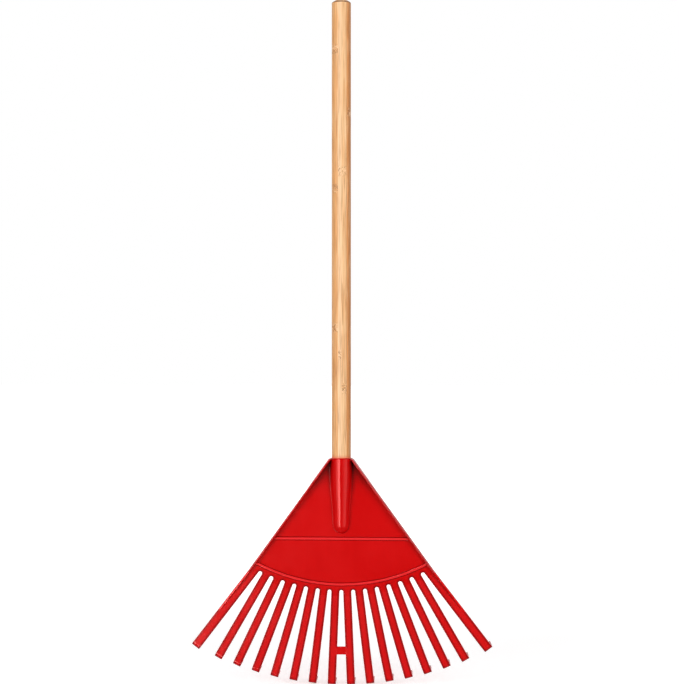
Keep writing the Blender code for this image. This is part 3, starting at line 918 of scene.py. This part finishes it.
def outer_rim_form(tine):
    """Low rim on an outer tine that carries on the wall of the plate's edge and runs out.

    Its inner side has painted shade.
    """
    outward = across(tine.angle) * math.copysign(1.0, tine.angle)
    start = root_middle(tine) + outward * tine.half_width
    rim_run = along(tine.angle) * OUTER_RIM_LENGTH
    sunk = HALF_PLATE / 2
    corner_round = RIM_ROUND * OUTER_RIM_ROUND_SHARE
    rings = []
    for step in range(OUTER_RIM_STEPS + 1):
        share = step / OUTER_RIM_STEPS
        front = -HALF_PLATE - RIM_ROOT_HEIGHT + (RIM_ROOT_HEIGHT + sunk) * share
        section = rounded_rectangle((RIM_SETBACK, front), (RIM_THICKNESS, 0.0), corner_round)
        ring = []
        for (setback, depth), turn in zip(section, corner_turns()):
            point = start + rim_run * share - outward * setback
            ring.append(Spot((point.x, depth, point.y), edge=corner_share(math.cos(turn))))
        rings.append(ring)
    return loft(rings)


def centre_bar_height(tine):
    """Height of the middle of the bar that ties the two middle tines together."""
    return tine.base.y - tine.tip * math.cos(tine.angle) + CENTRE_BAR_ABOVE_TIP


def centre_bar_form(tine):
    """The short bar between the two middle tines, of which the right one is given."""
    bar_z = centre_bar_height(tine)
    reach = distance_to_height(tine.base, tine.angle, bar_z) * math.sin(tine.angle)
    half_height = CENTRE_BAR_HEIGHT / 2
    half_depth = TINE_THICKNESS / 2 - CENTRE_BAR_SETBACK
    rings = []
    for x in (-reach, reach):
        ring = []
        for away, depth in strip_section(half_height, half_depth, 0.0):
            # Painted shade in a band along each edge, painted highlight on the rounds and, more faintly, all
            # over
            from_edge = half_height - abs(away)
            crest = max(TINE_CREST, round_share(from_edge))
            ring.append(Spot((x, depth, bar_z + away), painted_shade_share(from_edge), crest))
        rings.append(ring)
    return loft(rings)


def finish_tine(item, node_name, root, direction, material):
    """A tine bends smoothly over its upper part when its joint turns."""
    finish_piece(item, [node_name], material)
    end = root + direction * FLEX_LENGTH
    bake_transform(item, "rake", node_name, start=(root.x, 0.0, root.y), end=(end.x, 0.0, end.y))


def make_tines(tines, material):
    """All the tines: the two middle ones as a tied pair, and the outer ones with their rims."""
    middle = len(tines) // 2
    for index, tine in enumerate(tines):
        if index == middle - 1:
            continue
        root = root_middle(tine)
        if index == middle:
            tie_height = centre_bar_height(tine)
            strips = [tine_form(strip, tie_height) for strip in (tines[middle - 1], tine)]
            forms = strips + [centre_bar_form(tine)]
            pair = joined("centre_tine_pair_strips", forms)
            finish_tine(pair, "centre_tine_pair", Vector((0.0, root.y)), along(0.0), material)
            continue
        forms = [tine_form(tine)]
        if index in (0, len(tines) - 1):
            forms.append(outer_rim_form(tine))
        finish_tine(joined(tine.name + "_strip", forms), tine.name, root, along(tine.angle), material)


# Handle and screw

def make_handle(material):
    """Bamboo dowel with a chamfered top end and a tapered tenon."""
    chamfer = [
        (HANDLE_RADIUS - HANDLE_CHAMFER_IN - HANDLE_CHAMFER_SOFT, HANDLE_TOP_Z),
        (HANDLE_RADIUS - HANDLE_CHAMFER_IN, HANDLE_TOP_Z),
        (HANDLE_RADIUS, HANDLE_TOP_Z - HANDLE_CHAMFER_DOWN),
        (HANDLE_RADIUS, HANDLE_TOP_Z - HANDLE_CHAMFER_DOWN - HANDLE_CHAMFER_SOFT),
    ]
    profile = [(0.0, HANDLE_TOP_Z)] + smoothed(chamfer)
    profile += tenon_sides(0.0)
    tip_z = MOUTH_Z - TENON_CONE_DEPTH - TENON_TIP_LENGTH
    profile += [(TENON_TIP_DIAMETER / 2, tip_z), (0.0, tip_z)]
    handle = new_object("handle_dowel", turned(profile, LATHE_STEPS))
    finish_piece(handle, ["handle"], material)
    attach(handle, "rake")


def make_screw(material):
    """Self-tapping screw with a domed head and a cross drive."""
    head_radius = SCREW_HEAD_DIAMETER / 2
    shank_radius = SCREW_SHANK_DIAMETER / 2
    dome = SCREW_HEAD_HEIGHT - SCREW_HEAD_EDGE
    profile = [(0.0, SCREW_HEAD_HEIGHT)]
    profile += quarter_round((0.0, SCREW_HEAD_EDGE), head_radius, dome, math.pi / 2, BEND_STEPS)[1:]
    profile += [(head_radius, 0.0), (shank_radius, 0.0)]
    profile += [(shank_radius, -SCREW_LENGTH), (0.0, -SCREW_LENGTH)]
    screw = new_object("screw_head", turned(profile, SMALL_LATHE_STEPS))
    floor = SCREW_HEAD_HEIGHT - DRIVE_SLOT_DEPTH
    levels = ((floor, DRIVE_SLOT_FLOOR_SHARE), (2 * SCREW_HEAD_HEIGHT, DRIVE_SLOT_TOP_SHARE))
    corners = ((-1, -1), (1, -1), (1, 1), (-1, 1))
    for turn in (0.0, math.pi / 2):
        rings = []
        for height, share in levels:
            long_half = DRIVE_SLOT_LENGTH / 2 * share
            wide_half = DRIVE_SLOT_WIDTH / 2 * share
            rings.append([Spot((x * long_half, y * wide_half, height)) for x, y in corners])
        combine(screw, placed(loft(rings), Matrix.Rotation(turn, 4, 'Z')), 'DIFFERENCE')
    screw.data.transform(Matrix.Translation((0, SCREW_SEAT_Y, SCREW_Z)) @ TURN_TO_BACK)
    finish_piece(screw, ["fixing_screw"], material)
    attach(screw, "rake")


# Materials

def new_material(name):
    """A material with its node tree and its Principled shader."""
    material = bpy.data.materials.new(name)
    material.use_nodes = True
    return material, material.node_tree, material.node_tree.nodes["Principled BSDF"]


def fill_inputs(tree, node, inputs):
    """Put values or links on a node's inputs."""
    for key, value in inputs.items():
        if isinstance(value, bpy.types.NodeSocket):
            tree.links.new(value, node.inputs[key])
        else:
            node.inputs[key].default_value = value


def add_node(tree, kind, inputs=None, **settings):
    """A node with its settings, and with values or links on its inputs."""
    node = tree.nodes.new(kind)
    for key, value in settings.items():
        setattr(node, key, value)
    fill_inputs(tree, node, inputs or {})
    return node


def noise(tree, place, scale, stretch=(1.0, 1.0, 1.0), detail=2.0, distortion=0.0):
    """Noise between 0 and 1 in metres of the object, drawn out along its axes by a stretch below 1."""
    mapped = add_node(tree, "ShaderNodeMapping", {"Vector": place, "Scale": stretch})
    texture = add_node(tree, "ShaderNodeTexNoise", {
        "Vector": mapped.outputs["Vector"], "Scale": scale, "Detail": detail, "Distortion": distortion})
    return texture.outputs["Fac"]


def math_node(tree, operation, first, second=0.0, third=0.0):
    """The result of a Math node."""
    return add_node(tree, "ShaderNodeMath", {0: first, 1: second, 2: third}, operation=operation).outputs[0]


def ramp(tree, value, low, high, start=0.0, end=1.0):
    """A soft step from start to end as the value goes from low to high."""
    return add_node(tree, "ShaderNodeMapRange", {
        "Value": value, "From Min": low, "From Max": high, "To Min": start, "To Max": end},
        interpolation_type='SMOOTHSTEP').outputs["Result"]


def mix_colour(tree, share, first, second):
    """The first colour where the share is 0 and the second where it is 1."""
    return add_node(tree, "ShaderNodeMix", {"Factor": share, "A": first, "B": second},
                    data_type='RGBA').outputs["Result"]


def scale_colour(tree, colour, value):
    """A colour made lighter or darker by a varying value around 1."""
    return add_node(tree, "ShaderNodeHueSaturation", {"Color": colour, "Value": value}).outputs["Color"]


def fill_shader(tree, shader, **inputs):
    """Put values or links on the shader's inputs, with _ for a space in their names."""
    fill_inputs(tree, shader, {name.replace("_", " "): value for name, value in inputs.items()})


def bump(tree, height, distance, under=None):
    """A bump of this height in metres, on top of another one."""
    inputs = {"Height": height, "Distance": distance, "Strength": 1.0}
    if under is not None:
        inputs["Normal"] = under
    return add_node(tree, "ShaderNodeBump", inputs).outputs["Normal"]


def plastic_material():
    """Glossy moulded red plastic: colour drift, a fine skin, painted shade in creases and along edges, and
    painted highlights and glints on crests and rim edges.
    """
    material, tree, shader = new_material("red_plastic_moulded")
    place = add_node(tree, "ShaderNodeTexCoord").outputs["Object"]
    drift = noise(tree, place, PLASTIC_DRIFT_SCALE, detail=3.0)
    streaks = noise(tree, place, PLASTIC_STREAK_SCALE, (1.0, 1.0, PLASTIC_STREAK_STRETCH), detail=3.0,
                    distortion=PLASTIC_STREAK_BEND)
    skin = noise(tree, place, PLASTIC_SKIN_SCALE, detail=1.0)
    waves = noise(tree, place, PLASTIC_WAVE_SCALE, detail=0.0)
    attributes = [add_node(tree, "ShaderNodeAttribute", attribute_name=name) for name in SHARES]
    edge, crest, rub = [attribute.outputs["Fac"] for attribute in attributes]
    openness = add_node(tree, "ShaderNodeAmbientOcclusion", {"Distance": CREASE_REACH},
                        only_local=True, samples=CREASE_SAMPLES).outputs["AO"]

    mottle = add_node(tree, "ShaderNodeMix", {
        "Factor": PLASTIC_STREAK_SHARE, "A": drift, "B": streaks}).outputs["Result"]
    colour = mix_colour(tree, ramp(tree, mottle, *NARROW_NOISE_RANGE), PLASTIC_DEEP, PLASTIC_RED)
    # Painted highlight on crests and rounds, painted shade along edges, and a painted glint on the rims'
    # outer edges
    colour = mix_colour(tree, crest, colour, PLASTIC_PAINTED_HIGHLIGHT)
    colour = mix_colour(tree, edge, colour, PLASTIC_PAINTED_SHADE)
    colour = mix_colour(tree, rub, colour, PLASTIC_PAINTED_GLINT)
    # Painted shade in creases, from how open each point is: fainter low on the plate, full near the top,
    # faded out just below the mouth
    height = add_node(tree, "ShaderNodeSeparateXYZ", {"Vector": place}).outputs["Z"]
    fade = (MOUTH_Z - CREASE_FADE_END, MOUTH_Z - CREASE_FADE_START)
    crease_share = ramp(tree, height, *fade, CREASE_LOW_SHARE, 1.0)
    below_lip = ramp(tree, height, MOUTH_Z, MOUTH_Z - CREASE_BELOW_LIP)
    crease = math_node(tree, 'MULTIPLY', ramp(tree, openness, *CREASE_OPENNESS), crease_share)
    crease = math_node(tree, 'MULTIPLY', crease, below_lip)
    colour = mix_colour(tree, crease, colour, PLASTIC_CREASE_SHADE)
    roughness = ramp(tree, mottle, *NOISE_RANGE, *PLASTIC_ROUGHNESS)
    skin_bump = bump(tree, skin, PLASTIC_SKIN_DEPTH, bump(tree, waves, PLASTIC_WAVE_DEPTH))
    fill_shader(tree, shader, Base_Color=colour, Roughness=roughness, Normal=skin_bump,
                Specular_IOR_Level=PLASTIC_SPECULAR, Specular_Tint=PLASTIC_SPECULAR_TINT)
    return material


def choose_by_strip(tree, steps, values):
    """A number for each strip of the handle, from steps that go from 0 to 1 at the glue lines."""
    result = math_node(tree, 'MULTIPLY_ADD', steps[0], values[1] - values[0], values[0])
    for step, before, after in zip(steps[1:], values[1:], values[2:]):
        result = math_node(tree, 'MULTIPLY_ADD', step, after - before, result)
    return result


def bamboo_material():
    """Laminated bamboo: strips with streaks and fibres that bend at the nodes, a darker end grain, painted
    shade along its right side, and painted shadow and red light from the socket just above the mouth.
    """
    material, tree, shader = new_material("laminated_bamboo")
    coordinates = add_node(tree, "ShaderNodeTexCoord")
    place = coordinates.outputs["Object"]
    split = add_node(tree, "ShaderNodeSeparateXYZ", {"Vector": place})
    height = split.outputs["Z"]
    wander_stretch = (STRIP_WANDER_STRETCH, STRIP_WANDER_STRETCH, 1.0)
    wander = noise(tree, place, STRIP_WANDER_SCALE, wander_stretch, detail=1.0)
    sideways = math_node(tree, 'MULTIPLY_ADD', wander, STRIP_WANDER, split.outputs["X"])
    steps = []
    for line in GLUE_LINES:
        middle = line + STRIP_WANDER / 2
        steps.append(ramp(tree, sideways, middle - GLUE_LINE_WIDTH / 2, middle + GLUE_LINE_WIDTH / 2))

    colour = mix_colour(tree, steps[0], STRIP_COLOURS[0], STRIP_COLOURS[1])
    for step, after in zip(steps[1:], STRIP_COLOURS[2:]):
        colour = mix_colour(tree, step, colour, after)

    first_node = choose_by_strip(tree, steps, [start for start, pitch in STRIP_NODES])
    pitch = choose_by_strip(tree, steps, [pitch for start, pitch in STRIP_NODES])
    count = math_node(tree, 'DIVIDE', math_node(tree, 'SUBTRACT', height, first_node), pitch)
    away = math_node(tree, 'MULTIPLY', math_node(tree, 'PINGPONG', count, 0.5), pitch)
    band = ramp(tree, away, NODE_HALF_HEIGHT * NODE_CORE_SHARE, NODE_HALF_HEIGHT, 1.0, 0.0)

    wave = math_node(tree, 'SUBTRACT', noise(tree, place, NODE_WAVE_SCALE, detail=1.0), 0.5)
    shift = math_node(tree, 'MULTIPLY', math_node(tree, 'MULTIPLY', wave, NODE_WAVE), band)
    bent = add_node(tree, "ShaderNodeVectorMath", {0: place, 1: shift}, operation='ADD').outputs["Vector"]
    streaks = noise(tree, bent, STREAK_SCALE, (1.0, 1.0, STREAK_STRETCH), detail=3.0)
    fine = noise(tree, bent, FIBRE_SCALE, (1.0, 1.0, FIBRE_STRETCH), detail=3.0)
    darker = ramp(tree, streaks, *STREAK_DARK_RANGE, 0.0, STREAK_SHARE)
    paler = ramp(tree, streaks, *STREAK_PALE_RANGE, 0.0, STREAK_SHARE)
    colour = mix_colour(tree, darker, colour, STREAK_DARK)
    colour = mix_colour(tree, paler, colour, STREAK_PALE)
    colour = scale_colour(tree, colour, ramp(tree, fine, *NOISE_RANGE, *FIBRE_TONES))

    vessels = noise(tree, bent, VESSEL_SCALE, (1.0, 1.0, VESSEL_STRETCH), detail=1.0)
    lines = ramp(tree, vessels, *VESSEL_RANGE, 0.0, VESSEL_SHARE)
    colour = mix_colour(tree, lines, colour, VESSEL_DARK)

    fleck_stretch = (1.0, 1.0, NODE_FLECK_STRETCH)
    flecks = noise(tree, place, NODE_FLECK_SCALE, fleck_stretch, distortion=NODE_FLECK_BEND)
    dark = math_node(tree, 'MULTIPLY', band, ramp(tree, flecks, *NODE_DARK_RANGE, 0.0, NODE_DARK_SHARE))
    pale = math_node(tree, 'MULTIPLY', band, ramp(tree, flecks, *NODE_PALE_RANGE, 0.0, NODE_PALE_SHARE))
    colour = mix_colour(tree, dark, colour, NODE_DARK)
    colour = mix_colour(tree, pale, colour, NODE_PALE)

    facing = add_node(tree, "ShaderNodeSeparateXYZ", {"Vector": coordinates.outputs["Normal"]})
    pores = noise(tree, place, FIBRE_SCALE)
    end_colour = mix_colour(tree, ramp(tree, pores, *NARROW_NOISE_RANGE), END_GRAIN_DARK, END_GRAIN_PALE)
    from_corner = math_node(tree, 'SUBTRACT', height, HANDLE_TOP_Z - HANDLE_CHAMFER_DOWN)
    corner_away = math_node(tree, 'ABSOLUTE', from_corner)
    corner_core = CORNER_HALF_HEIGHT / SOFT_BAND_PARTS
    corner = ramp(tree, corner_away, corner_core, CORNER_HALF_HEIGHT, CORNER_SHARE, 0.0)
    colour = mix_colour(tree, corner, colour, CORNER_DARK)
    colour = mix_colour(tree, ramp(tree, facing.outputs["Z"], *END_FACING_RANGE), colour, end_colour)
    # Painted red light from the socket, on the wood just above the mouth
    glow = ramp(tree, height, MOUTH_Z + MOUTH_GLOW_HEIGHT, MOUTH_Z, 0.0, MOUTH_GLOW_SHARE)
    colour = mix_colour(tree, glow, colour, MOUTH_GLOW)
    # Painted shadow on the wood where it meets the mouth, tinted by the socket's red
    line_core = MOUTH_LINE_HEIGHT / SOFT_BAND_PARTS
    mouth_line = ramp(tree, height, MOUTH_Z + MOUTH_LINE_HEIGHT, MOUTH_Z + line_core)
    colour = mix_colour(tree, mouth_line, colour, MOUTH_LINE)

    roughness = ramp(tree, fine, *NOISE_RANGE, *BAMBOO_ROUGHNESS)
    relief = bump(tree, flecks, NODE_DEPTH, bump(tree, fine, FIBRE_DEPTH))
    fill_shader(tree, shader, Base_Color=colour, Roughness=roughness, Normal=relief,
                Specular_IOR_Level=BAMBOO_SPECULAR)
    return material


def zinc_material():
    """Zinc plated steel: cloudy plating, dull and bright in turn, with fine turning marks."""
    material, tree, shader = new_material("zinc_plated_steel")
    place = add_node(tree, "ShaderNodeTexCoord").outputs["Object"]
    cloud = noise(tree, place, ZINC_CLOUD_SCALE, detail=4.0)
    marks = noise(tree, place, ZINC_MARK_SCALE, (1.0, ZINC_MARK_STRETCH, 1.0))
    colour = mix_colour(tree, ramp(tree, cloud, *NOISE_RANGE), ZINC_DULL, ZINC_BRIGHT)
    roughness = ramp(tree, cloud, *NOISE_RANGE, *ZINC_ROUGHNESS)
    relief = bump(tree, marks, ZINC_MARK_DEPTH)
    fill_shader(tree, shader, Base_Color=colour, Roughness=roughness, Normal=relief, Metallic=1.0)
    return material


# Stage, light and camera

def face_rake(item, turn, rise, distance):
    """Put a camera or a lamp this far from the middle of the rake, facing it."""
    back = Vector((math.sin(turn) * math.cos(rise), -math.cos(turn) * math.cos(rise), math.sin(rise)))
    item.location = CAMERA_AIM + back * distance
    item.rotation_euler = (-back).to_track_quat('-Z', 'Y').to_euler()


def make_camera():
    """The photograph's camera: level, a little to the right of straight ahead."""
    data = bpy.data.cameras.new("camera")
    data.sensor_width = SENSOR_SIZE
    data.lens = SENSOR_SIZE * FOCAL_PIXELS / IMAGE_HEIGHT_PIXELS
    camera = add_to_scene("camera", data)
    face_rake(camera, CAMERA_AZIMUTH, 0.0, CAMERA_DISTANCE)
    bpy.context.scene.camera = camera


def add_softbox(name, azimuth, elevation, distance, width, height, radiance):
    """A soft lamp of even radiance, with its angles in degrees. The eye doesn't see it."""
    data = bpy.data.lights.new(name, 'AREA')
    data.shape = 'RECTANGLE'
    data.size = width
    data.size_y = height
    data.energy = radiance * math.pi * width * height
    lamp = add_to_scene(name, data)
    face_rake(lamp, math.radians(azimuth), math.radians(elevation), distance)
    lamp.visible_camera = False
    return lamp


def background_rays(tree, behind):
    """1 for rays from the eye, the given share for mirrored rays, and 0 for the light on the rake."""
    rays = add_node(tree, "ShaderNodeLightPath").outputs
    straight_part = math_node(tree, 'MAXIMUM', rays["Is Camera Ray"], rays["Is Transmission Ray"])
    mirrored_part = math_node(tree, 'MULTIPLY', rays["Is Glossy Ray"], behind)
    return math_node(tree, 'MAXIMUM', straight_part, mirrored_part)


def make_floor():
    """Large white floor under the tips, which keeps the shadow and turns pure white further away."""
    form = bmesh.new()
    bmesh.ops.create_grid(form, x_segments=1, y_segments=1, size=FLOOR_HALF_SIZE)
    floor = new_object("floor", form)
    floor.location = (0, 0, cad_box[0].z - FLOOR_GAP)
    floor.visible_glossy = False
    floor.visible_shadow = False
    material, tree, shader = new_material("floor_white")
    place = add_node(tree, "ShaderNodeTexCoord").outputs["Object"]
    far = add_node(tree, "ShaderNodeVectorMath", {0: place}, operation='LENGTH').outputs["Value"]
    shadow_core = FLOOR_SHADOW_REACH / SOFT_BAND_PARTS
    glow = ramp(tree, far, shadow_core, FLOOR_SHADOW_REACH, FLOOR_GLOW, 1.0)
    strength = math_node(tree, 'MULTIPLY', background_rays(tree, 0.0), glow)
    fill_shader(tree, shader, Base_Color=FLOOR_COLOUR, Roughness=1.0, Specular_IOR_Level=0.0,
                Emission_Color=WHITE, Emission_Strength=strength)
    floor.data.materials.append(material)


def make_world():
    """White for the eye and, behind the rake, in its gloss, with a plain level of light from all sides."""
    world = bpy.data.worlds.new("studio")
    bpy.context.scene.world = world
    world.use_nodes = True
    tree = world.node_tree
    direction = add_node(tree, "ShaderNodeTexCoord").outputs["Generated"]
    split = add_node(tree, "ShaderNodeSeparateXYZ", {"Vector": direction})
    behind = ramp(tree, split.outputs["Y"], *BACKDROP_RANGE)
    strength = ramp(tree, background_rays(tree, behind), 0.0, 1.0, WORLD_LEVEL, 1.0)
    fill_shader(tree, tree.nodes["Background"], Color=WHITE, Strength=strength)


def make_stage():
    """Floor, world and lamps."""
    make_floor()
    make_world()
    for name, azimuth, radiance in SOFT_LIGHTS:
        lamp = add_softbox(name, azimuth, SOFT_ELEVATION, SOFT_DISTANCE, SOFT_SIZE, SOFT_SIZE, radiance)
        lamp.visible_glossy = False
    for name, first, last, radiance in GLOSS_STRIPS:
        width = 2 * STRIP_DISTANCE * math.tan(math.radians(last - first) / 2)
        middle = (first + last) / 2
        strip = add_softbox(name, middle, STRIP_ELEVATION, STRIP_DISTANCE, width, STRIP_HEIGHT, radiance)
        strip.visible_diffuse = False


def main():
    """All the pieces with their looks, then the stage and the camera."""
    bpy.context.scene.view_settings.view_transform = 'Standard'
    tines = fan_of_tines()
    plastic = plastic_material()
    make_head(tines, plastic)
    make_tines(tines, plastic)
    make_handle(bamboo_material())
    make_screw(zinc_material())
    make_stage()
    make_camera()


main()
